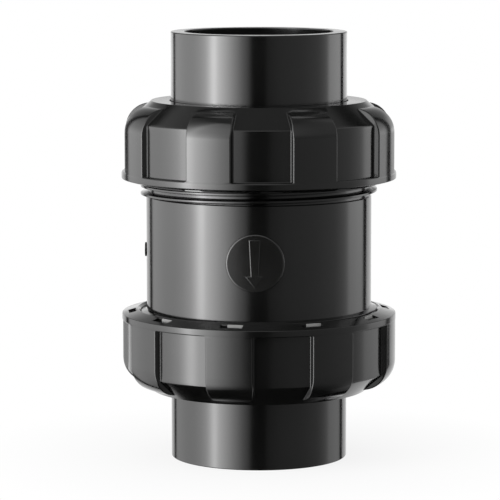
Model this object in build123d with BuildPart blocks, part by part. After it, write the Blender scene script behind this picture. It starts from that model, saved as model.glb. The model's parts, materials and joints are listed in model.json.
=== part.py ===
from build123d import *
import math
import os

os.makedirs("parts", exist_ok=True)

# Ball non-return valve between two union ends, for solvent-cemented pipe.
# It stands on its outlet end: Z runs up the flow axis, from the outlet face to the inlet face,
# and the flow marker on the body looks along -Y. All sizes are in millimetres.
# The pipe sets the diameters, each from the one inside it by a wall, a step or a play.

# Socket ends
pipe_diameter = 63.0
cement_gap = 0.3            # how much wider the socket is than its pipe
socket_depth = 38.0
socket_wall = 5.85
pipe_stop_width = 5.5       # ring that the pipe's end stops on, measured inwards from the pipe's outside
pipe_stop_thickness = 3.2
mouth_chamfer = 0.4
flange_thickness = 7.0
flange_set_back = 0.4       # flange's edge inside the root of the body's thread

# Ball, chamber and cage
ball_overlap = 6.5          # ball's radius past the throat's
ball_travel = 19.0
ball_floor_gap = 4.5
flow_gap = 8.5              # free width round the ball
running_gap = 0.4           # between the ball and its cage
cage_rib_count = 4
cage_rib_width = 4.0
cage_rib_root = 2.0         # how far a rib runs into the wall
cradle_diameter = 28.0      # free hole between the inner ends of the ribs
floor_thickness = 5.8
floor_slope_height = 9.0
floor_slope_width = 8.0

# Valve body
body_wall = 6.2             # between the chamber and the thread's root
thread_height = 3.2
thread_lead_in = 1.5
outlet_neck_length = 22.6
barrel_length = 48.8
barrel_step = 0.75          # barrel past the thread's root
barrel_edge_chamfer = 0.4
marker_diameter = 24.0
marker_height = 24.9        # centre of the flow marker, above the barrel's lower edge
marker_stand_out = 0.05
marker_root = 4.0           # how deep the marker's disc is rooted in the wall
gate_diameter = 6.0
gate_stand_out = 0.7
gate_root = 0.7
gate_angle = 180.0

# Seat carrier and seals
seat_wall = 5.5
seat_height = 7.0
seat_land = 2.0             # flat width left beside the ball on the seat's lower face
seat_play = 0.1
seat_stand_out = 0.9        # seat below the carrier's lower face
carrier_height = 22.8
carrier_play = 0.3
carrier_recess = 0.2        # carrier's face below the body's inlet face
key_slot_width = 8.0
key_slot_reach = 5.0
key_slot_depth = 5.0
seal_width = 4.0
seal_height = 3.0           # squeezed, from the groove's floor to what the seal presses on
seal_corner = 0.9
groove_play = 0.1
face_land = 7.4             # face seals' grooves, out from the throat
side_seal_rise = 7.0        # carrier's side seal, above the carrier's lower face

# Union nuts
lip_thickness = 5.0
lip_play = 0.5              # radial room of the nut round its socket end
thread_play = 0.3           # radial room of the nut over the thread's crest
nut_wall = 5.4              # between the nut's bore and the floor of a grip recess
nut_height = 32.9           # closed face to outer edge of the open face
nut_mouth_rise = 1.9        # how far the open face's inner edge stands out past its outer edge
nut_mouth_chamfer = 1.0
closed_cone_width = 10.3
closed_cone_height = 8.6
grip_count = 8
grip_height = 2.3
grip_root_depth = 1.8       # how deep a rib is rooted in the wall
grip_crest_angle = 18.6     # width of a rib at its crest
grip_root_angle = 20.6      # width of a rib at its foot
grip_shoulder_radius = 11.0
grip_shoulder_drop = 1.8    # shoulder's highest point, below the closed face
rim_height = 2.9
rim_step = 0.1              # rim past the crests of the ribs
pocket_count = 10           # locking pockets in the open face
pocket_length = 9.4
pocket_width = 3.2
pocket_depth = 2.0          # at the deep end
pocket_floor_depth = 0.3    # along the rest of it
pocket_ramp_length = 2.7    # from the floor down to the deep end
pocket_inset = 2.7          # from the rim's outer side
pocket_turn = 0.4           # from a grip rib
inlet_nut_turn = 25.7       # where one grip rib lies, seen from the inlet, from X
outlet_nut_turn = -100.6

# Radii, from the inside out
pipe_radius = pipe_diameter / 2
socket_radius = pipe_radius + cement_gap / 2
stub_radius = socket_radius + socket_wall
throat_radius = pipe_radius - pipe_stop_width
ball_radius = throat_radius + ball_overlap
cage_radius = ball_radius + running_gap
cradle_radius = cradle_diameter / 2
chamber_radius = ball_radius + flow_gap
root_radius = chamber_radius + body_wall
flange_radius = root_radius - flange_set_back
barrel_radius = root_radius + barrel_step
bore_radius = root_radius + thread_height + thread_play
recess_radius = bore_radius + nut_wall
grip_radius = recess_radius + grip_height
rim_radius = grip_radius + rim_step
seat_outer_radius = throat_radius + seat_wall
seat_edge_radius = seat_outer_radius - seat_land
seat_ball_radius = ball_radius + seat_play
carrier_radius = chamber_radius - carrier_play
side_groove_radius = chamber_radius - seal_height
face_groove_inside = throat_radius + face_land
face_groove_outside = face_groove_inside + seal_width + 2 * groove_play

# Levels along Z
socket_end_length = socket_depth + pipe_stop_thickness
stub_length = socket_end_length - flange_thickness - lip_thickness
outlet_face_z = socket_end_length
barrel_low_z = outlet_face_z + outlet_neck_length
barrel_high_z = barrel_low_z + barrel_length
marker_z = barrel_low_z + marker_height
floor_z = outlet_face_z + floor_thickness
ball_open_z = floor_z + ball_floor_gap + ball_radius
ball_closed_z = ball_open_z + ball_travel
seat_z = ball_closed_z + math.sqrt(seat_ball_radius**2 - seat_edge_radius**2)
carrier_low_z = seat_z + seat_stand_out
side_seal_z = carrier_low_z + side_seal_rise
carrier_high_z = carrier_low_z + carrier_height
inlet_face_z = carrier_high_z + carrier_recess
overall_length = inlet_face_z + socket_end_length


# Upright plane through a turned piece's axis: its x runs outwards, its y along the axis
def half_plane(base, angle=0.0):
    turned = base.rotated((0, 0, angle))
    return Plane(origin=turned.origin, x_dir=turned.x_dir, z_dir=turned.x_dir.cross(turned.z_dir))


# One socket end, from its open mouth up to the flange that its nut holds
def socket_end(base):
    with BuildPart() as piece:
        with BuildSketch(half_plane(base)):
            with BuildLine():
                Polyline(
                    (socket_radius + mouth_chamfer, 0),
                    (stub_radius - mouth_chamfer, 0),
                    (stub_radius, mouth_chamfer),
                    (stub_radius, stub_length + lip_thickness),
                    (flange_radius, stub_length + lip_thickness),
                    (flange_radius, socket_end_length),
                    (throat_radius, socket_end_length),
                    (throat_radius, socket_depth),
                    (socket_radius, socket_depth),
                    (socket_radius, mouth_chamfer),
                    close=True,
                )
            make_face()
        revolve(axis=Axis(base.origin, base.z_dir))
    return piece


# Grip ribs of a nut, rooted in its wall: one rounded shoulder, cut into ribs by their sides
def grip_ribs(base):
    ledge = nut_height - rim_height
    shoulder_start = grip_radius - grip_shoulder_radius
    shoulder_end = grip_shoulder_drop + grip_shoulder_radius
    root_radius_of_rib = recess_radius - grip_root_depth
    with BuildPart() as ribs:
        with BuildSketch(half_plane(base)):
            with BuildLine():
                CenterArc((shoulder_start, shoulder_end), grip_shoulder_radius, -90, 90)
                Polyline(
                    (grip_radius, shoulder_end),
                    (grip_radius, ledge),
                    (root_radius_of_rib, ledge),
                    (root_radius_of_rib, closed_cone_height + grip_root_depth),
                    (shoulder_start, grip_shoulder_drop),
                )
            make_face()
        revolve(axis=Axis(base.origin, base.z_dir))
        foot = Vector(recess_radius, 0).rotate(Axis.Z, grip_root_angle / 2)
        crest = Vector(grip_radius, 0).rotate(Axis.Z, grip_crest_angle / 2)
        side = [foot / 2, foot, crest + (crest - foot)]
        other_side = [Vector(corner.X, -corner.Y) for corner in reversed(side)]
        with BuildSketch(base):
            with PolarLocations(0, grip_count):
                Polygon(*side, *other_side, align=None)
        extrude(amount=nut_height, mode=Mode.INTERSECT)
    return ribs


# One union nut, from its closed face towards the body; its pockets' floors lie square to the axis
def union_nut(base):
    closed_radius = recess_radius - closed_cone_width
    lip_radius = stub_radius + lip_play
    cavity_radius = flange_radius + lip_play
    cavity_top = lip_thickness + flange_thickness - lip_play
    mouth_radius = bore_radius + nut_mouth_chamfer
    mouth_height = nut_height + nut_mouth_rise
    ledge = nut_height - rim_height
    ribs = grip_ribs(base)
    with BuildPart() as piece:
        with BuildSketch(half_plane(base)):
            with BuildLine():
                Polyline(
                    (lip_radius, 0),
                    (closed_radius, 0),
                    (recess_radius, closed_cone_height),
                    (recess_radius, ledge),
                    (rim_radius, ledge),
                    (rim_radius, nut_height),
                    (mouth_radius, mouth_height),
                    (bore_radius, mouth_height - nut_mouth_chamfer),
                    (bore_radius, cavity_top + bore_radius - cavity_radius),
                    (cavity_radius, cavity_top),
                    (cavity_radius, lip_thickness),
                    (lip_radius, lip_thickness),
                    close=True,
                )
            make_face()
        revolve(axis=Axis(base.origin, base.z_dir))
        add(ribs.part)
        slope = nut_mouth_rise / (rim_radius - mouth_radius)
        outer_edge = (rim_radius - pocket_inset, nut_height + pocket_inset * slope)
        for index in range(pocket_count):
            side = half_plane(base, pocket_turn + index * 360 / pocket_count)
            upright = Plane(
                origin=side.from_local_coords(outer_edge),
                x_dir=base.z_dir.cross(side.x_dir),
                z_dir=side.x_dir,
            )
            with BuildSketch(upright):
                with BuildLine():
                    Polyline(
                        (-pocket_length / 2, -pocket_depth),
                        (pocket_ramp_length - pocket_length / 2, -pocket_floor_depth),
                        (pocket_length / 2, -pocket_floor_depth),
                        (pocket_length / 2, nut_mouth_rise),
                        (-pocket_length / 2, nut_mouth_rise),
                        close=True,
                    )
                make_face()
            extrude(amount=-pocket_width, mode=Mode.SUBTRACT)
    return piece


# One seal as it lies squeezed in its groove, a ring with cut corners
def seal_ring(inside, width, low, height):
    corner = min(seal_corner, width / 3, height / 3)
    with BuildPart() as piece:
        with BuildSketch(half_plane(Plane.XY)) as section:
            with Locations((inside + width / 2, low + height / 2)):
                Rectangle(width, height)
            chamfer(section.vertices(), corner)
        revolve(axis=Axis.Z)
    return piece


outlet_end_plane = Plane.XY
outlet_socket_end = socket_end(outlet_end_plane)
outlet_socket_end.part.label = "outlet_socket_end"
export_step(outlet_socket_end.part, "parts/outlet_socket_end.step")

inlet_end_plane = Plane(origin=(0, 0, overall_length), x_dir=(1, 0, 0), z_dir=(0, 0, -1))
inlet_socket_end = socket_end(inlet_end_plane)
inlet_socket_end.part.label = "inlet_socket_end"
export_step(inlet_socket_end.part, "parts/inlet_socket_end.step")

outlet_nut_plane = outlet_end_plane.offset(stub_length).rotated((0, 0, outlet_nut_turn))
outlet_union_nut = union_nut(outlet_nut_plane)
outlet_union_nut.part.label = "outlet_union_nut"
export_step(outlet_union_nut.part, "parts/outlet_union_nut.step")

inlet_nut_plane = inlet_end_plane.offset(stub_length).rotated((0, 0, -inlet_nut_turn))
inlet_union_nut = union_nut(inlet_nut_plane)
inlet_union_nut.part.label = "inlet_union_nut"
export_step(inlet_union_nut.part, "parts/inlet_union_nut.step")

# Ball, at rest in the open position
with BuildPart(Plane.XY.offset(ball_open_z)) as ball:
    Sphere(ball_radius)
ball.part.label = "ball"
export_step(ball.part, "parts/ball.step")

# Valve body: threaded necks and barrel, chamber, floor over the outlet, ball cage
with BuildPart() as valve_body:
    with BuildSketch(half_plane(Plane.XY)):
        with BuildLine():
            Polyline(
                (throat_radius, outlet_face_z),
                (face_groove_inside, outlet_face_z),
                (face_groove_inside, outlet_face_z + seal_height),
                (face_groove_outside, outlet_face_z + seal_height),
                (face_groove_outside, outlet_face_z),
                (root_radius - thread_lead_in, outlet_face_z),
                (root_radius, outlet_face_z + thread_lead_in),
                (root_radius, barrel_low_z),
                (barrel_radius - barrel_edge_chamfer, barrel_low_z),
                (barrel_radius, barrel_low_z + barrel_edge_chamfer),
                (barrel_radius, barrel_high_z - barrel_edge_chamfer),
                (barrel_radius - barrel_edge_chamfer, barrel_high_z),
                (root_radius, barrel_high_z),
                (root_radius, inlet_face_z - thread_lead_in),
                (root_radius - thread_lead_in, inlet_face_z),
                (chamber_radius, inlet_face_z),
                (chamber_radius, floor_z + floor_slope_height),
                (chamber_radius - floor_slope_width, floor_z),
                (throat_radius, floor_z),
                close=True,
            )
        make_face()
    revolve(axis=Axis.Z)
    cradle_angle = math.degrees(math.acos(cradle_radius / cage_radius))
    for index in range(cage_rib_count):
        with BuildSketch(half_plane(Plane.XY, (index + 0.5) * 360 / cage_rib_count)):
            with BuildLine():
                cradle = CenterArc((0, ball_open_z), cage_radius, -cradle_angle, cradle_angle)
                Polyline(
                    cradle @ 1,
                    (cage_radius, carrier_low_z),
                    (chamber_radius + cage_rib_root, carrier_low_z),
                    (chamber_radius + cage_rib_root, floor_z),
                    (cradle_radius, floor_z),
                    cradle @ 0,
                )
            make_face()
        extrude(amount=cage_rib_width / 2, both=True)
    marker_face = (0, -barrel_radius - marker_stand_out, marker_z)
    with BuildSketch(Plane(origin=marker_face, x_dir=(1, 0, 0), z_dir=(0, -1, 0))):
        Circle(marker_diameter / 2)
    extrude(amount=-marker_root)
    gate_side = half_plane(Plane.XY, gate_angle)
    gate_face = gate_side.from_local_coords((barrel_radius + gate_stand_out, marker_z))
    with BuildSketch(Plane(origin=gate_face, x_dir=(0, 0, 1), z_dir=gate_side.x_dir)):
        Circle(gate_diameter / 2)
    extrude(amount=-gate_stand_out - gate_root)
valve_body.part.label = "valve_body"
export_step(valve_body.part, "parts/valve_body.step")

# Seat carrier, screwed into the inlet end against the tops of the cage ribs
with BuildPart() as seat_carrier:
    with BuildSketch(half_plane(Plane.XY)):
        with BuildLine():
            Polyline(
                (seat_outer_radius, carrier_low_z),
                (carrier_radius, carrier_low_z),
                (carrier_radius, side_seal_z - groove_play),
                (side_groove_radius, side_seal_z - groove_play),
                (side_groove_radius, side_seal_z + seal_width + groove_play),
                (carrier_radius, side_seal_z + seal_width + groove_play),
                (carrier_radius, carrier_high_z),
                (face_groove_outside, carrier_high_z),
                (face_groove_outside, inlet_face_z - seal_height),
                (face_groove_inside, inlet_face_z - seal_height),
                (face_groove_inside, carrier_high_z),
                (throat_radius, carrier_high_z),
                (throat_radius, seat_z + seat_height),
                (seat_outer_radius, seat_z + seat_height),
                close=True,
            )
        make_face()
    revolve(axis=Axis.Z)
    with BuildSketch(Plane.XY.offset(carrier_high_z)):
        Rectangle(2 * (throat_radius + key_slot_reach), key_slot_width)
    extrude(amount=-key_slot_depth, mode=Mode.SUBTRACT)
seat_carrier.part.label = "seat_carrier"
export_step(seat_carrier.part, "parts/seat_carrier.step")

# Ball seat seal, shaped to the ball where the ball closes on it
with BuildPart() as ball_seat_seal:
    with BuildSketch(half_plane(Plane.XY)):
        with BuildLine():
            Polyline(
                (throat_radius, seat_z),
                (seat_outer_radius, seat_z),
                (seat_outer_radius, seat_z + seat_height),
                (throat_radius, seat_z + seat_height),
                close=True,
            )
        make_face()
    revolve(axis=Axis.Z)
    with Locations((0, 0, ball_closed_z)):
        Sphere(seat_ball_radius, mode=Mode.SUBTRACT)
ball_seat_seal.part.label = "ball_seat_seal"
export_step(ball_seat_seal.part, "parts/ball_seat_seal.step")

# Seals: two in the faces, one round the carrier
outlet_face_o_ring = seal_ring(face_groove_inside + groove_play, seal_width, outlet_face_z, seal_height)
outlet_face_o_ring.part.label = "outlet_face_o_ring"
export_step(outlet_face_o_ring.part, "parts/outlet_face_o_ring.step")

inlet_seal_z = inlet_face_z - seal_height
inlet_face_o_ring = seal_ring(face_groove_inside + groove_play, seal_width, inlet_seal_z, seal_height)
inlet_face_o_ring.part.label = "inlet_face_o_ring"
export_step(inlet_face_o_ring.part, "parts/inlet_face_o_ring.step")

carrier_o_ring = seal_ring(side_groove_radius, seal_height, side_seal_z, seal_width)
carrier_o_ring.part.label = "carrier_o_ring"
export_step(carrier_o_ring.part, "parts/carrier_o_ring.step")
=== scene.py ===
import bpy
import bmesh
import json
import math
from mathutils import Matrix, Vector

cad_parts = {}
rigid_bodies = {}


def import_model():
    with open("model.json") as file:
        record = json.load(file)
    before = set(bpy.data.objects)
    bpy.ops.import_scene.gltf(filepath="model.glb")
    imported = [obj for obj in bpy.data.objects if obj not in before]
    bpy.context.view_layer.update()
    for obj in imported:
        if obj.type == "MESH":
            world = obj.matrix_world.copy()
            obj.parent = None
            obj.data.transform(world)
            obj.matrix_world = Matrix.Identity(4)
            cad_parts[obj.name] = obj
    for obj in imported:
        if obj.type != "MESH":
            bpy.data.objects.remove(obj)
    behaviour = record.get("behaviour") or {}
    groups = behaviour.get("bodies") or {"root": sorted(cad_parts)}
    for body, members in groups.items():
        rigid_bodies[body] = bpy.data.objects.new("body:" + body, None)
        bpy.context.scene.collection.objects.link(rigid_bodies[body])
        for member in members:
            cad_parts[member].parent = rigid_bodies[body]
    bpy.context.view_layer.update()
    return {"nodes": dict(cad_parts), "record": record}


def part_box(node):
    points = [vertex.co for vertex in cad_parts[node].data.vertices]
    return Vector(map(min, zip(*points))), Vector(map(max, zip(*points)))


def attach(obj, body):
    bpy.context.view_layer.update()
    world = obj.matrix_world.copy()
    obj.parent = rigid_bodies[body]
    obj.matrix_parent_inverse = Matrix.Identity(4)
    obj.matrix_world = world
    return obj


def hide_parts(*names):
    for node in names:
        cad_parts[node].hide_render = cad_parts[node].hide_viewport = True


# A ball non-return valve between two union ends, standing on its outlet end.
# Lengths in the dictionaries are millimetres and angles are degrees, mesh coordinates are metres.
for startObject in list(bpy.data.objects):
    bpy.data.objects.remove(startObject)
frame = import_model()

mm = 0.001
weldDistance = 0.002 * mm
partMounts = {mount["name"]: mount for mount in frame["record"]["mounts"]}


def lowAndHigh(node):
    low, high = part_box(node)
    return low.z / mm, high.z / mm


def halfWidth(node):
    low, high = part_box(node)
    return (high.x - low.x) / 2 / mm


valve = {
    "bodyLow": lowAndHigh("valve_body")[0],
    "bodyHigh": lowAndHigh("valve_body")[1],
    "inletTop": lowAndHigh("inlet_socket_end")[1],
    "outletNutLow": lowAndHigh("outlet_union_nut")[0],
    "inletNutHigh": lowAndHigh("inlet_union_nut")[1],
    "middle": lowAndHigh("inlet_socket_end")[1] / 2,
    "threadPitch": 3.3,
}


# Helpers for every piece
shading = {
    "sharpAngle": 38.0,
    "crispAngle": 30.0,     # for the small ridges of the threads and the marker
    "weight": 60,
}


def meshFrom(name, bm, materials=()):
    mesh = bpy.data.meshes.new(name)
    bm.to_mesh(mesh)
    bm.free()
    for material in materials:
        mesh.materials.append(material)
    return mesh


def addObject(name, data):
    added = bpy.data.objects.new(name, data)
    bpy.context.scene.collection.objects.link(added)
    return added


def weld(bm):
    bmesh.ops.remove_doubles(bm, verts=bm.verts, dist=weldDistance)
    bmesh.ops.recalc_face_normals(bm, faces=bm.faces)


def finishPiece(name, bm, materials, body, sharp=shading["sharpAngle"]):
    weld(bm)
    mesh = meshFrom(name, bm, materials)
    mesh.polygons.foreach_set("use_smooth", [True] * len(mesh.polygons))
    mesh.set_sharp_from_angle(angle=math.radians(sharp))
    piece = addObject(name, mesh)
    weighted = piece.modifiers.new("evenShading", "WEIGHTED_NORMAL")
    weighted.keep_sharp = True
    weighted.weight = shading["weight"]
    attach(piece, body)
    return piece


# Outline through corners (radius, height, rounding), with an arc at each corner that has a rounding
def softOutline(corners, arcSteps=4):
    points = []
    for index, (radius, height, rounding) in enumerate(corners):
        here = Vector((radius, height))
        back = (Vector(corners[index - 1][:2]) - here).normalized()
        ahead = (Vector(corners[(index + 1) % len(corners)][:2]) - here).normalized()
        if rounding == 0:
            points.append(here)
            continue
        halfAngle = back.angle(ahead) / 2
        reach = rounding / math.tan(halfAngle)
        centre = here + (back + ahead).normalized() * rounding / math.sin(halfAngle)
        first = here + back * reach - centre
        last = here + ahead * reach - centre
        turn = first.angle_signed(last)
        for step in range(arcSteps + 1):
            angle = -turn * step / arcSteps
            spoke = Matrix.Rotation(angle, 2) @ first
            points.append(centre + spoke)
    return points


def turnedPiece(corners, steps=192, arcSteps=4):
    bm = bmesh.new()
    outline = [bm.verts.new((p.x * mm, 0, p.y * mm)) for p in softOutline(corners, arcSteps)]
    edges = [bm.edges.new((outline[i - 1], outline[i])) for i in range(len(outline))]
    bmesh.ops.spin(bm, geom=outline + edges, cent=(0, 0, 0), axis=(0, 0, 1), dvec=(0, 0, 0),
                   angle=math.tau, steps=steps, use_merge=True)
    return bm


# A grid bent into shape: place(column, row) gives each corner's point in millimetres
def gridPiece(columns, rows, place):
    bm = bmesh.new()
    bmesh.ops.create_grid(bm, x_segments=columns, y_segments=rows, size=0.5)
    for vert in bm.verts:
        column = round((vert.co.x + 0.5) * columns)
        row = round((vert.co.y + 0.5) * rows)
        vert.co = Vector(place(column, row)) * mm
    return bm


def turnedAbout(angle):
    return Matrix.Rotation(math.radians(angle), 3, "Z")


def upsideDown(bm, height):
    turned = Matrix.Translation((0, 0, height * mm)) @ Matrix.Rotation(math.pi, 4, "X")
    bmesh.ops.transform(bm, verts=bm.verts, matrix=turned)


# Finishes
def newMaterial(name):
    material = bpy.data.materials.new(name)
    material.use_nodes = True
    return material, material.node_tree.nodes, material.node_tree.links


def mathNode(nodes, links, kind, first, second):
    node = nodes.new("ShaderNodeMath")
    node.operation = kind
    for socket, value in zip(node.inputs, (first, second)):
        if isinstance(value, (int, float)):
            socket.default_value = value
        else:
            links.new(value, socket)
    return node.outputs["Value"]


def noiseNode(nodes, links, place, scale, detail):
    noise = nodes.new("ShaderNodeTexNoise")
    noise.inputs["Scale"].default_value = scale
    noise.inputs["Detail"].default_value = detail
    links.new(place.outputs["Object"], noise.inputs["Vector"])
    return noise.outputs["Fac"]


def mapRange(nodes, links, value, fromRange, toRange=(0.0, 1.0)):
    spread = nodes.new("ShaderNodeMapRange")
    for kind, ends in (("From", fromRange), ("To", toRange)):
        spread.inputs[kind + " Min"].default_value = ends[0]
        spread.inputs[kind + " Max"].default_value = ends[1]
    links.new(value, spread.inputs["Value"])
    return spread.outputs["Result"]


def objectAxes(nodes, links):
    place = nodes.new("ShaderNodeTexCoord")
    split = nodes.new("ShaderNodeSeparateXYZ")
    links.new(place.outputs["Object"], split.inputs["Vector"])
    return split.outputs


# Moulded surfaces: patches of duller and paler skin under a fine grain
moulded = {
    "patchScale": 55,
    "patchDetail": 4,
    "patchRange": (0.35, 0.65),
    "darkShare": 0.85,
    "paleShare": 1.15,
    "grainScale": 900,
    "grainDetail": 2,
    "grainHeight": 0.02,
}


def mouldedPlastic(name, colour, roughness, grain, ior=1.5):
    material, nodes, links = newMaterial(name)
    shader = nodes["Principled BSDF"]
    shader.inputs["IOR"].default_value = ior
    place = nodes.new("ShaderNodeTexCoord")
    patches = noiseNode(nodes, links, place, moulded["patchScale"], moulded["patchDetail"])
    gloss = mapRange(nodes, links, patches, moulded["patchRange"], roughness)
    links.new(gloss, shader.inputs["Roughness"])
    tint = nodes.new("ShaderNodeMix")
    tint.data_type = "RGBA"
    tint.inputs["A"].default_value = (*[c * moulded["darkShare"] for c in colour], 1)
    tint.inputs["B"].default_value = (*[c * moulded["paleShare"] for c in colour], 1)
    links.new(patches, tint.inputs["Factor"])
    links.new(tint.outputs["Result"], shader.inputs["Base Color"])
    bump = nodes.new("ShaderNodeBump")
    bump.inputs["Strength"].default_value = grain
    bump.inputs["Distance"].default_value = moulded["grainHeight"] * mm
    skin = noiseNode(nodes, links, place, moulded["grainScale"], moulded["grainDetail"])
    links.new(skin, bump.inputs["Height"])
    links.new(bump.outputs["Normal"], shader.inputs["Normal"])
    return material


nearlyBlack = (0.0055, 0.0056, 0.0054)
plastic = mouldedPlastic("mouldedPlastic", nearlyBlack, (0.12, 0.16), 0.15)
nutPlastic = mouldedPlastic("nutPlastic", nearlyBlack, (0.12, 0.17), 0.08, 1.46)
ballPlastic = mouldedPlastic("turnedBallPlastic", (0.02, 0.021, 0.021), (0.16, 0.24), 0.2)
markerPlastic = mouldedPlastic("markerPlastic", (0.009, 0.009, 0.0086), (0.17, 0.22), 0.15)
# Pale finish that paints a highlight on the inner walls of the lower nut's pockets
paintedHighlightPlastic = mouldedPlastic("paintedHighlightPlastic", (0.36, 0.36, 0.355), (0.4, 0.55), 0.5)
rubber = mouldedPlastic("sealRubber", (0.008, 0.008, 0.008), (0.5, 0.65), 0.6)

for node, finish in {
    "valve_body": plastic,
    "seat_carrier": plastic,
    "ball": ballPlastic,
    "ball_seat_seal": rubber,
    "carrier_o_ring": rubber,
    "inlet_face_o_ring": rubber,
    "outlet_face_o_ring": rubber,
}.items():
    frame["nodes"][node].material_slots[0].material = finish
print("materials ready")

# Socket ends
socketEnd = {
    "bore": partMounts["inlet_socket"]["dims"]["r_mm"],
    "outside": 37.5,
    "throat": 26.0,
    "depth": 38.0,
    "length": 41.2,
    "flangeRadius": halfWidth("inlet_socket_end"),
    "flangeThickness": 7.0,
    "mouthInside": 0.5,
    "mouthOutside": 0.5,
    "softEdge": 0.4,
}


def socketEndMesh():
    s = socketEnd
    flangeLow = s["length"] - s["flangeThickness"]
    return turnedPiece([
        (s["bore"], 0, s["mouthInside"]),
        (s["outside"], 0, s["mouthOutside"]),
        (s["outside"], flangeLow, s["softEdge"]),
        (s["flangeRadius"], flangeLow, s["softEdge"]),
        (s["flangeRadius"], s["length"], s["softEdge"]),
        (s["throat"], s["length"], s["softEdge"]),
        (s["throat"], s["depth"], s["softEdge"]),
        (s["bore"], s["depth"], s["softEdge"]),
    ])


outletSocket = finishPiece("outletSocketEnd", socketEndMesh(), [plastic], "outlet_socket_end")
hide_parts("outlet_socket_end")
socketMesh = socketEndMesh()
upsideDown(socketMesh, valve["inletTop"])
inletSocket = finishPiece("inletSocketEnd", socketMesh, [plastic], "inlet_socket_end")
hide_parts("inlet_socket_end")
print("socket ends ready")

# Union nuts, from the closed face up
nut = {
    "lipRadius": 38.0,
    "closedRadius": 45.8,
    "coneHeight": 8.6,
    "recessRadius": 56.1,
    "gripRadius": 58.4,
    "rimRadius": halfWidth("inlet_union_nut") - 0.01,   # just inside the CAD's box
    "shoulderRadius": 11.0,
    "shoulderDrop": 1.8,
    "ledge": 30.0,
    "height": 32.9,
    "mouthRadius": 51.7,
    "mouthRise": 1.9,
    "mouthChamfer": 1.0,
    "boreRadius": 50.7,
    "boreEdge": 0.2,
    "boreEnd": 14.9,
    "cavityRadius": 47.3,
    "cavityHigh": 11.5,
    "lipThickness": 5.0,
    "softEdge": 0.35,
    "coneEdge": 0.7,
    "ledgeEdge": 0.6,
    "gripCount": 8,
    "gripFoot": 20.6,
    "gripCrest": 18.6,
    "crestRounding": 0.6,
    "footRounding": 0.4,
    "wallRoom": 0.9,        # share of a low wall that its two roundings may take
    "leastLift": 0.01,      # a lower grip counts as flush
    "arcSteps": 4,
    "edgeSteps": 6,
    "crestColumns": 6,
    "recessColumns": 8,
    "shoulderRows": 16,
    "bandHeight": 22.0,     # a row of corners across the upright part of the grips
    "pocketCount": 10,
    "pocketLength": 9.4,
    "pocketWidth": 3.2,
    "pocketDepth": 2.0,
    "pocketFloorDepth": 0.3,
    "pocketRamp": 2.7,
    "pocketInset": 2.7,
    "pocketTurn": 0.4,
    "pocketWeld": 0.01,
    "facesAxis": -0.9,      # a face whose normal is further in than this looks at the axis
    "outletTurn": -100.6,
    "inletTurn": 25.7,
}


# Nearest point of the nut's skin between two grips, to a point over it
def nearestOnRecess(point, recess):
    best = None
    for start, end in zip(recess, recess[1:]):
        along = end - start
        share = max(0.0, min(1.0, (point - start).dot(along) / along.length_squared))
        spot = start + along * share
        if best is None or (point - spot).length < (point - best).length:
            best = spot
    return best


# Rows of the closed cross-section: each has its point between two grips and on a grip's crest
def nutRows():
    n = nut
    slope = Vector((n["recessRadius"] - n["closedRadius"], n["coneHeight"])).normalized()
    recess = softOutline([
        (n["lipRadius"], 0, 0),
        (n["closedRadius"], 0, n["softEdge"]),
        (n["recessRadius"], n["coneHeight"], n["coneEdge"]),
        (n["recessRadius"], n["ledge"], 0),
    ], n["edgeSteps"])[1:]
    centre = Vector((n["gripRadius"] - n["shoulderRadius"], n["shoulderDrop"] + n["shoulderRadius"]))
    # the shoulder's arc starts at the inner of the two places where it crosses the cone
    normal = Vector((slope.y, -slope.x))
    over = (centre - Vector((n["closedRadius"], 0))).dot(normal)
    lift = math.acos(max(-1, min(1, -over / n["shoulderRadius"])))
    startAngle = math.atan2(normal.y, normal.x) - lift
    rows = [(p, p) for p in recess[:n["edgeSteps"] + 1]]
    for step in range(n["shoulderRows"] + 1):
        angle = startAngle * (1 - step / n["shoulderRows"])
        crest = centre + n["shoulderRadius"] * Vector((math.cos(angle), math.sin(angle)))
        rows.append((nearestOnRecess(crest, recess), crest))
    ledge = softOutline([
        (n["recessRadius"], centre.y, 0),
        (n["recessRadius"], n["ledge"], n["softEdge"]),
        (n["rimRadius"], n["ledge"], n["ledgeEdge"]),
        (n["rimRadius"], n["height"], 0),
    ])[1:-1]
    rows.append((Vector((n["recessRadius"], n["bandHeight"])), Vector((n["gripRadius"], n["bandHeight"]))))
    for p in ledge:
        rows.append((p, Vector((max(p.x, n["gripRadius"]), p.y))))
    rest = softOutline([
        (n["rimRadius"], n["ledge"], 0),
        (n["rimRadius"], n["height"], n["softEdge"]),
        (n["mouthRadius"], n["height"] + n["mouthRise"], n["softEdge"]),
        (n["boreRadius"], n["height"] + n["mouthRise"] - n["mouthChamfer"], n["boreEdge"]),
        (n["boreRadius"], n["boreEnd"], n["softEdge"]),
        (n["cavityRadius"], n["cavityHigh"], n["softEdge"]),
        (n["cavityRadius"], n["lipThickness"], n["softEdge"]),
        (n["lipRadius"], n["lipThickness"], n["softEdge"]),
        (n["lipRadius"], 0, n["softEdge"]),
        (n["closedRadius"], 0, 0),
    ])[1:-1]
    rows += [(p, p) for p in rest]
    return rows


# Section across a grip's wall, by column: how far in from the grip's foot, and how far lifted
def wallSteps(height):
    n = nut
    foot = math.radians(n["gripFoot"] / 2)
    crest = math.radians(n["gripCrest"] / 2)
    fullHeight = n["gripRadius"] - n["recessRadius"]
    fullRun = n["recessRadius"] * math.sin(foot) - n["gripRadius"] * math.sin(crest)
    scale = height / fullHeight
    run = fullRun * scale
    room = min(1.0, height / (n["crestRounding"] + n["footRounding"]) * n["wallRoom"])
    return softOutline([
        (-2 * n["footRounding"], 0, 0),
        (0, 0, n["footRounding"] * room),
        (run, height, n["crestRounding"] * room),
        (run + 2 * n["crestRounding"], height, 0),
    ], n["arcSteps"])[1:-1]


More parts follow.
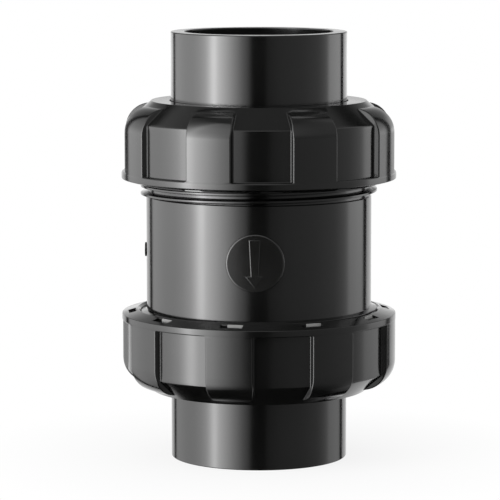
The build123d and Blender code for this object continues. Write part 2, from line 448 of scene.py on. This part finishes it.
def nutMesh():
    n = nut
    rows = nutRows()
    walls = []
    normals = []
    for recess, crest in rows:
        height = (crest - recess).length
        lifted = height > n["leastLift"]
        walls.append(wallSteps(height) if lifted else None)
        normals.append((crest - recess).normalized() if lifted else Vector((1, 0)))
    wallCount = 2 * (n["arcSteps"] + 1)
    pitch = 360 / n["gripCount"]
    foot = n["gripFoot"] / 2
    perGrip = n["crestColumns"] + 2 * wallCount + n["recessColumns"]

    def place(column, row):
        grip, part = divmod(column, perGrip)
        recess, crest = rows[row % len(rows)]
        wall = walls[row % len(rows)]
        normal = normals[row % len(rows)]
        height = (crest - recess).length if wall else 0.0

        def side(index):
            if wall is None:
                return foot, 0.0
            inward, lifted = wall[index]
            radius = recess.x + normal.x * lifted
            return foot - math.degrees(inward / radius), lifted

        innerFoot, _ = side(wallCount - 1)
        if part < n["crestColumns"]:
            angle = -innerFoot + 2 * innerFoot * part / n["crestColumns"]
            lifted = height
        elif part < n["crestColumns"] + wallCount:
            angle, lifted = side(wallCount - 1 - (part - n["crestColumns"]))
        elif part < n["crestColumns"] + wallCount + n["recessColumns"]:
            outerFoot, _ = side(0)
            share = (part - n["crestColumns"] - wallCount + 1) / (n["recessColumns"] + 1)
            angle = outerFoot + (pitch - 2 * outerFoot) * share
            lifted = 0.0
        else:
            angle, lifted = side(part - n["crestColumns"] - wallCount - n["recessColumns"])
            angle = pitch - angle
        turned = math.radians(angle + grip * pitch)
        point = recess + normal * lifted
        return point.x * math.cos(turned), point.x * math.sin(turned), point.y

    return gridPiece(perGrip * n["gripCount"], len(rows), place)


# What is cut out of the open face: locking pockets, each with a level floor and a ramp down to its deep end
def pocketCutter():
    n = nut
    slope = n["mouthRise"] / (n["rimRadius"] - n["mouthRadius"])
    outer = n["rimRadius"] - n["pocketInset"]
    level = n["height"] + n["pocketInset"] * slope
    half = n["pocketLength"] / 2
    side = [
        (-half, -n["pocketDepth"]),
        (n["pocketRamp"] - half, -n["pocketFloorDepth"]),
        (half, -n["pocketFloorDepth"]),
        (half, 2 * n["mouthRise"]),
        (-half, 2 * n["mouthRise"]),
    ]
    bm = bmesh.new()
    profile = bm.faces.new([bm.verts.new((outer, along, level + up)) for along, up in side])
    grown = bmesh.ops.extrude_face_region(bm, geom=[profile])
    inner = [item for item in grown["geom"] if isinstance(item, bmesh.types.BMVert)]
    bmesh.ops.translate(bm, verts=inner, vec=(-n["pocketWidth"], 0, 0))
    rampEnd = n["pocketRamp"] - half
    bmesh.ops.bisect_plane(bm, geom=bm.verts[:] + bm.edges[:] + bm.faces[:], plane_co=(0, rampEnd, 0),
                           plane_no=(0, 1, 0))
    bmesh.ops.recalc_face_normals(bm, faces=bm.faces)
    # what cuts a pocket's inner wall, past the ramp, carries the second finish, which is a pale painted
    # highlight
    for face in bm.faces:
        if face.normal.x < n["facesAxis"] and face.calc_center_median().y > rampEnd:
            face.material_index = 1
    bmesh.ops.rotate(bm, verts=bm.verts, cent=(0, 0, 0), matrix=turnedAbout(n["pocketTurn"]))
    bmesh.ops.spin(bm, geom=bm.verts[:] + bm.edges[:] + bm.faces[:], cent=(0, 0, 0), axis=(0, 0, 1),
                   dvec=(0, 0, 0), angle=math.tau, steps=n["pocketCount"], use_duplicate=True)
    # spin leaves its last copy on the first
    bmesh.ops.remove_doubles(bm, verts=bm.verts, dist=n["pocketWeld"])
    bmesh.ops.scale(bm, verts=bm.verts, vec=(mm, mm, mm))
    bmesh.ops.recalc_face_normals(bm, faces=bm.faces)
    return addObject("pocketCutter", meshFrom("pocketCutter", bm))


def cutWith(bm, cutter, materials):
    weld(bm)
    blank = addObject("uncut", meshFrom("uncut", bm, materials))
    cut = blank.modifiers.new("pockets", "BOOLEAN")
    cut.operation = "DIFFERENCE"
    cut.solver = "EXACT"
    cut.object = cutter
    bpy.context.view_layer.update()
    whole = blank.evaluated_get(bpy.context.evaluated_depsgraph_get())
    result = bmesh.new()
    result.from_mesh(bpy.data.meshes.new_from_object(whole))
    bpy.data.objects.remove(blank)
    return result


# The second finish is the painted highlight on the pocket walls
nutFinishes = [nutPlastic, paintedHighlightPlastic]
cutter = pocketCutter()
lowerNut = cutWith(nutMesh(), cutter, nutFinishes)
bpy.data.objects.remove(cutter)
upperNut = lowerNut.copy()

bmesh.ops.rotate(lowerNut, verts=lowerNut.verts, cent=(0, 0, 0), matrix=turnedAbout(nut["outletTurn"]))
bmesh.ops.translate(lowerNut, verts=lowerNut.verts, vec=(0, 0, valve["outletNutLow"] * mm))
outletNut = finishPiece("outletUnionNut", lowerNut, nutFinishes, "outlet_union_nut")
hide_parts("outlet_union_nut")

bmesh.ops.rotate(upperNut, verts=upperNut.verts, cent=(0, 0, 0), matrix=turnedAbout(-nut["inletTurn"]))
upsideDown(upperNut, valve["inletNutHigh"])
# The upper nut's pockets face down into shade, so they get no painted highlight
inletNut = finishPiece("inletUnionNut", upperNut, [nutPlastic, nutPlastic], "inlet_union_nut")
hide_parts("inlet_union_nut")
print("union nuts ready")

# Right-hand threads: a ridge wound on the body's necks and one inside each nut
thread = {
    "stepsPerTurn": 72,
    "taper": 28.0,
    "neck": {"base": 47.0, "crest": 50.4, "baseHalf": 1.25, "crestHalf": 0.45},
    "bore": {"base": 50.95, "crest": 47.9, "baseHalf": 1.2, "crestHalf": 0.35},
    "rounding": 0.22,
    "arcSteps": 3,
    "endWidth": 0.4,        # share of its width that a ridge has where it ends
    "endGap": 0.1,
    "inletRunout": 0.5,     # turns past the front, beyond which the ridge ends in the barrel
    "outletRunout": 0.33,
    "inletPhase": 114.15,
    "outletPhase": 63.25,
    "frontAngle": -90.0,
}


def threadMesh(phase, fromTurn, toTurn, shape):
    outline = softOutline([
        (shape["base"], -shape["baseHalf"], 0),
        (shape["crest"], -shape["crestHalf"], thread["rounding"]),
        (shape["crest"], shape["crestHalf"], thread["rounding"]),
        (shape["base"], shape["baseHalf"], 0),
    ], thread["arcSteps"])
    columns = round((toTurn - fromTurn) * thread["stepsPerTurn"])

    def place(column, row):
        turn = fromTurn + (toTurn - fromTurn) * column / columns
        fromEnd = min(turn - fromTurn, toTurn - turn) * 360
        rise = math.sin(min(1.0, fromEnd / thread["taper"]) * math.pi / 2)
        point = outline[row % len(outline)]
        radius = shape["base"] + (point.x - shape["base"]) * rise
        width = thread["endWidth"] + (1 - thread["endWidth"]) * rise
        height = phase + valve["threadPitch"] * turn + point.y * width
        angle = math.radians(thread["frontAngle"] + turn * 360)
        return radius * math.cos(angle), radius * math.sin(angle), height

    bm = gridPiece(columns, len(outline), place)
    bmesh.ops.remove_doubles(bm, verts=bm.verts, dist=weldDistance)
    rims = [edge for edge in bm.edges if edge.is_boundary]
    bmesh.ops.holes_fill(bm, edges=rims)
    return bm


# A ridge from one height to another, wound so that it crosses the front at its phase
def windThread(name, body, phase, low, high, shape):
    turns = [(height - phase) / valve["threadPitch"] for height in (low, high)]
    ridge = threadMesh(phase, *turns, shape)
    finishPiece(name, ridge, [plastic], body, shading["crispAngle"])


endGap = thread["neck"]["baseHalf"] + thread["endGap"]
windThread("inletThread", "valve_body", thread["inletPhase"],
           thread["inletPhase"] - thread["inletRunout"] * valve["threadPitch"],
           valve["bodyHigh"] - endGap, thread["neck"])
windThread("outletThread", "valve_body", thread["outletPhase"],
           valve["bodyLow"] + endGap,
           thread["outletPhase"] + thread["outletRunout"] * valve["threadPitch"], thread["neck"])
nutBoreLow = nut["boreEnd"] + endGap
nutBoreHigh = nut["height"] + nut["mouthRise"] - nut["mouthChamfer"] - endGap
windThread("inletNutThread", "inlet_union_nut", thread["inletPhase"] + valve["threadPitch"] / 2,
           valve["inletNutHigh"] - nutBoreHigh, valve["inletNutHigh"] - nutBoreLow, thread["bore"])
windThread("outletNutThread", "outlet_union_nut", thread["outletPhase"] - valve["threadPitch"] / 2,
           valve["outletNutLow"] + nutBoreLow, valve["outletNutLow"] + nutBoreHigh, thread["bore"])
print("threads ready")

# Flow marker: a disc with a raised arrow that points down the flow
marker = {
    "height": 88.7,
    "radius": 12.3,
    "face": 48.2,
    "root": 44.0,
    "softEdge": 0.9,
    "steps": 128,
    "centre": 0.001,
    "crown": 130.0,         # radius of the face from side to side, as it is shaded
    "arrowRise": 0.5,
    "arrowRoot": 0.5,
    "arrowBevel": 0.45,
    "bevelSteps": 5,
    "shaftTop": 9.9,
    "headTop": -5.1,
    "tip": -10.4,
    "headHalf": 4.3,
    "shaftTopHalf": 2.5,
    "shaftFootHalf": 1.75,
    "shift": -0.15,
}


# The plastic of a face that is moulded slightly crowned from side to side
def crownedPlastic():
    material = markerPlastic.copy()
    material.name = "crownedPlastic"
    nodes, links = material.node_tree.nodes, material.node_tree.links
    axes = objectAxes(nodes, links)
    square = mathNode(nodes, links, "MULTIPLY", axes["X"], axes["X"])
    drop = mathNode(nodes, links, "DIVIDE", square, -2 * marker["crown"] * mm)
    crown = nodes.new("ShaderNodeBump")
    crown.inputs["Distance"].default_value = 1.0
    links.new(drop, crown.inputs["Height"])
    skin = nodes["Principled BSDF"].inputs["Normal"].links[0].from_node
    links.new(crown.outputs["Normal"], skin.inputs["Normal"])
    return material


def markerDisc():
    m = marker
    bm = turnedPiece([
        (m["centre"], 0, 0),
        (m["radius"], 0, 0),
        (m["radius"], m["face"] - m["root"], m["softEdge"]),
        (m["centre"], m["face"] - m["root"], 0),
    ], m["steps"])
    place = Matrix.Translation((0, -m["root"] * mm, m["height"] * mm)) @ Matrix.Rotation(math.pi / 2, 4, "X")
    bmesh.ops.transform(bm, verts=bm.verts, matrix=place)
    return bm


def markerArrow():
    m = marker
    right = [
        (m["shaftTopHalf"], m["shaftTop"]),
        (m["shaftFootHalf"], m["headTop"]),
        (m["headHalf"], m["headTop"]),
    ]
    corners = right + [(0, m["tip"])] + [(-x, z) for x, z in reversed(right)]
    bm = bmesh.new()
    front = -(m["face"] + m["arrowRise"])
    verts = [bm.verts.new(((x + m["shift"]) * mm, front * mm, (m["height"] + z) * mm)) for x, z in corners]
    face = bm.faces.new(verts)
    grown = bmesh.ops.extrude_face_region(bm, geom=[face])
    back = [item for item in grown["geom"] if isinstance(item, bmesh.types.BMVert)]
    bmesh.ops.translate(bm, verts=back, vec=(0, (m["arrowRise"] + m["arrowRoot"]) * mm, 0))
    rims = [edge for edge in bm.edges if all(abs(v.co.y - front * mm) < weldDistance for v in edge.verts)]
    bmesh.ops.bevel(bm, geom=rims, offset=m["arrowBevel"] * mm, offset_type="OFFSET",
                    segments=m["bevelSteps"], profile=0.5, affect="EDGES", material=-1)
    return bm


finishPiece("flowMarkerDisc", markerDisc(), [crownedPlastic()], "valve_body",
            shading["crispAngle"])
finishPiece("flowMarkerArrow", markerArrow(), [markerPlastic], "valve_body",
            shading["crispAngle"])
print("flow marker ready")

# Studio: pale floor, white surroundings, soft lamps, and glowing walls that only reflections see. In metres
studio = {
    "floorRadius": 6.0,
    "floorSteps": 96,
    "floorColour": (0.9, 0.9, 0.9, 1),
    "floorRoughness": 0.8,
    "floorWhite": 0.85,     # share of pure white in the floor that the camera sees under the valve
    "floorFade": (0.04, 0.13),      # distances from the axis between which that share rises to 1
    "ceiling": 0.25,
    "discSteps": 64,
    "wallSteps": 128,
    "worldLight": 0.55,
    "softboxSize": 0.8,
    # name, place and watts
    "softboxes": [("leftSoftbox", (-0.9, -0.7, 0.9), 9), ("rightSoftbox", (1.0, -0.4, 0.7), 2)],
}
# The walls' brightness by direction, degrees from the camera's side with the left negative,
# and the share of it by height, degrees up from the valve's middle
wall = {
    "radius": 1.0,
    "low": -1.5,
    "high": 2.6,
    "span": (-145, 101),
    "around": [
        (-145, 0.0), (-138, 0.0), (-135, 1.2), (-121, 1.8), (-105, 2.4), (-91, 3.1), (-80, 4.1), (-70, 5.8),
        (-64, 8.6), (-60, 12), (-56, 13), (-52, 9.6), (-44, 7.4), (-31, 4.1), (-19, 1.7), (-11, 0.75),
        (-8, 0.15), (-6, 0.0), (9, 0.0), (13, 0.17), (30, 0.3), (60, 0.4), (84, 0.55), (96, 0.85),
        (101, 1.1),
    ],
    "upward": [
        (-57, 0.05), (-48, 0.25), (-38, 0.6), (-30, 0.74), (-20, 0.82), (-14, 0.87), (-7, 1.0),
        (-1, 1.2), (4, 1.22), (13, 0.85), (27, 0.56), (52, 0.28), (67, 0.12),
    ],
}
# The light along the valve's right edge, which has its own fall by height
rightWall = {
    "radius": 1.0,
    "low": -1.5,
    "high": 2.6,
    "span": (101, 143.5),
    "around": [(101, 1.1), (105, 2.0), (120, 1.65), (132.5, 1.2), (134.5, 0.0), (143.5, 0.0)],
    "upward": [
        (-57, 0.05), (-48, 0.25), (-38, 0.6), (-30, 0.68), (-20, 0.7), (-14, 0.72), (-11, 0.77), (-8.5, 0.9),
        (-6, 0.97), (-2.5, 1.2), (1, 1.36), (4, 1.36), (13, 0.85), (27, 0.56), (52, 0.28), (67, 0.12),
    ],
}
# Adds light from high in front to what shows through it
frontWall = {
    "radius": 0.9,
    "low": 0.2,
    "high": 2.4,
    "span": (-60, 135),
    "seeThrough": True,
    "around": [(-60, 0.0), (-30, 0.8), (-5, 1.5), (15, 1.3), (40, 0.5), (60, 0.36), (100, 0.3), (135, 0.0)],
    "upward": [(10, 0.0), (24, 0.8), (42, 1.0), (60, 1.0), (69, 0.7)],
}
backWall = {
    "radius": 1.0,
    "low": -1.5,
    "high": 1.8,
    "span": (143.5, 215),
    "around": [(-180, 1.6), (180, 1.6)],
    "upward": [
        (-57, 0.0), (-44, 0.0), (-41, 0.6), (-2, 0.62), (1, 1.0), (3, 0.85), (6, 0.6), (12, 0.55),
        (20, 0.24), (35, 0.11), (59, 0.09),
    ],
}


def cardMaterial(name, strength):
    material, nodes, links = newMaterial(name)
    nodes.remove(nodes["Principled BSDF"])
    glow = nodes.new("ShaderNodeEmission")
    glow.inputs["Strength"].default_value = strength
    links.new(glow.outputs["Emission"], nodes["Material Output"].inputs["Surface"])
    return material, nodes, links, glow


def onlyReflected(card):
    card.visible_camera = False
    card.visible_diffuse = False
    card.visible_transmission = False
    card.visible_volume_scatter = False
    card.visible_shadow = False


def bandCurve(nodes, spots):
    curve = nodes.new("ShaderNodeFloatCurve")
    bands = curve.mapping.curves[0].points
    for where, level in spots[1:-1]:
        bands.new(where, level)
    bands[0].location = spots[0]
    bands[len(bands) - 1].location = spots[-1]
    for band in bands:
        band.handle_type = "VECTOR"
    curve.mapping.update()
    return curve


def wallMaterial(name, w):
    material, nodes, links, glow = cardMaterial(name, 1.0)
    axes = objectAxes(nodes, links)
    front = mathNode(nodes, links, "MULTIPLY", axes["Y"], -1)
    angle = mathNode(nodes, links, "ARCTAN2", axes["X"], front)
    top = max(level for _, level in w["around"])
    bands = bandCurve(nodes, [(0.5 + where / 360, level / top) for where, level in w["around"]])
    links.new(mapRange(nodes, links, angle, (-math.pi, math.pi)), bands.inputs["Value"])
    middle = valve["middle"] * mm
    reach = w["high"] - w["low"]
    levels = [math.tan(math.radians(up)) * w["radius"] + middle for up, _ in w["upward"]]
    fall = bandCurve(nodes, [((z - w["low"]) / reach, share) for z, (_, share) in zip(levels, w["upward"])])
    links.new(mapRange(nodes, links, axes["Z"], (w["low"], w["high"])), fall.inputs["Value"])
    both = mathNode(nodes, links, "MULTIPLY", bands.outputs["Value"], fall.outputs["Value"])
    links.new(mathNode(nodes, links, "MULTIPLY", both, top), glow.inputs["Strength"])
    if w.get("seeThrough"):
        clear = nodes.new("ShaderNodeBsdfTransparent")
        added = nodes.new("ShaderNodeAddShader")
        links.new(clear.outputs["BSDF"], added.inputs[0])
        links.new(glow.outputs["Emission"], added.inputs[1])
        links.new(added.outputs["Shader"], nodes["Material Output"].inputs["Surface"])
    return material


def glowingWall(name, w):
    fromAngle, toAngle = w["span"]
    bm = bmesh.new()
    start = turnedAbout(fromAngle) @ Vector((0, -w["radius"], 0))
    ends = [bm.verts.new((start.x, start.y, z)) for z in (w["low"], w["high"])]
    edge = bm.edges.new(ends)
    bmesh.ops.spin(bm, geom=ends + [edge], cent=(0, 0, 0), axis=(0, 0, 1), dvec=(0, 0, 0),
                   angle=math.radians(toAngle - fromAngle), steps=studio["wallSteps"])
    onlyReflected(addObject(name, meshFrom(name, bm, [wallMaterial(name, w)])))


def studioDisc(name, height, strength):
    bm = bmesh.new()
    bmesh.ops.create_circle(bm, cap_ends=True, segments=studio["discSteps"], radius=wall["radius"])
    bmesh.ops.translate(bm, verts=bm.verts, vec=(0, 0, height))
    onlyReflected(addObject(name, meshFrom(name, bm, [cardMaterial(name, strength)[0]])))


def paleFloor():
    material, nodes, links = newMaterial("paleFloor")
    shader = nodes["Principled BSDF"]
    shader.inputs["Base Color"].default_value = studio["floorColour"]
    shader.inputs["Roughness"].default_value = studio["floorRoughness"]
    shader.inputs["Specular IOR Level"].default_value = 0
    white = nodes.new("ShaderNodeEmission")
    place = nodes.new("ShaderNodeTexCoord")
    reach = nodes.new("ShaderNodeVectorMath")
    reach.operation = "LENGTH"
    links.new(place.outputs["Object"], reach.inputs[0])
    fade = mapRange(nodes, links, reach.outputs["Value"], studio["floorFade"], (studio["floorWhite"], 1.0))
    seen = nodes.new("ShaderNodeLightPath")
    whitened = mathNode(nodes, links, "MULTIPLY", fade, seen.outputs["Is Camera Ray"])
    mix = nodes.new("ShaderNodeMixShader")
    links.new(whitened, mix.inputs["Fac"])
    links.new(shader.outputs["BSDF"], mix.inputs[1])
    links.new(white.outputs["Emission"], mix.inputs[2])
    links.new(mix.outputs["Shader"], nodes["Material Output"].inputs["Surface"])
    bm = bmesh.new()
    bmesh.ops.create_circle(bm, cap_ends=True, segments=studio["floorSteps"], radius=studio["floorRadius"])
    floor = addObject("floor", meshFrom("floor", bm, [material]))
    floor.visible_glossy = False


def surroundings():
    world = bpy.data.worlds.new("softWhite")
    bpy.context.scene.world = world
    world.use_nodes = True
    nodes, links = world.node_tree.nodes, world.node_tree.links
    back = nodes["Background"]
    back.inputs["Color"].default_value = (1, 1, 1, 1)
    back.inputs["Strength"].default_value = studio["worldLight"]
    white = nodes.new("ShaderNodeBackground")
    white.inputs["Color"].default_value = (1, 1, 1, 1)
    seen = nodes.new("ShaderNodeLightPath")
    either = mathNode(nodes, links, "MAXIMUM", seen.outputs["Is Camera Ray"], seen.outputs["Is Glossy Ray"])
    anyOf = mathNode(nodes, links, "MAXIMUM", either, seen.outputs["Is Transmission Ray"])
    mix = nodes.new("ShaderNodeMixShader")
    links.new(anyOf, mix.inputs["Fac"])
    links.new(back.outputs["Background"], mix.inputs[1])
    links.new(white.outputs["Background"], mix.inputs[2])
    links.new(mix.outputs["Shader"], nodes["World Output"].inputs["Surface"])


def softLamp(name, place, size, watts):
    light = bpy.data.lights.new(name, "AREA")
    light.size = size
    light.energy = watts
    lamp = addObject(name, light)
    lamp.location = place
    aside = Vector((0, 0, valve["middle"] * mm)) - Vector(place)
    lamp.rotation_euler = aside.to_track_quat("-Z", "Y").to_euler()
    lamp.visible_glossy = False


glowingWall("studioWall", wall)
glowingWall("rightWall", rightWall)
glowingWall("frontWall", frontWall)
glowingWall("backWall", backWall)
studioDisc("studioCeiling", wall["high"], studio["ceiling"])
studioDisc("studioGround", wall["low"], 0.0)
paleFloor()
surroundings()
for name, place, watts in studio["softboxes"]:
    softLamp(name, place, studio["softboxSize"], watts)

# Camera, where the photo was taken from
view = {
    "distance": 1.310,      # metres
    "target": 92.8,
    "elevation": 6.8,
    "azimuth": 1.9,
    "lens": 220.75,
    "shiftX": -0.0178,
    "shiftY": -0.020,
}
camera = addObject("camera", bpy.data.cameras.new("camera"))
camera.data.lens = view["lens"]
camera.data.shift_x = view["shiftX"]
camera.data.shift_y = view["shiftY"]
elevation = math.radians(view["elevation"])
azimuth = math.radians(view["azimuth"])
level = math.cos(elevation)
away = Vector((math.sin(azimuth) * level, -math.cos(azimuth) * level, math.sin(elevation)))
aim = Vector((0, 0, view["target"] * mm))
camera.location = aim + away * view["distance"]
camera.rotation_euler = (-away).to_track_quat("-Z", "Y").to_euler()
bpy.context.scene.camera = camera
bpy.context.scene.view_settings.view_transform = "Standard"
print("studio ready")
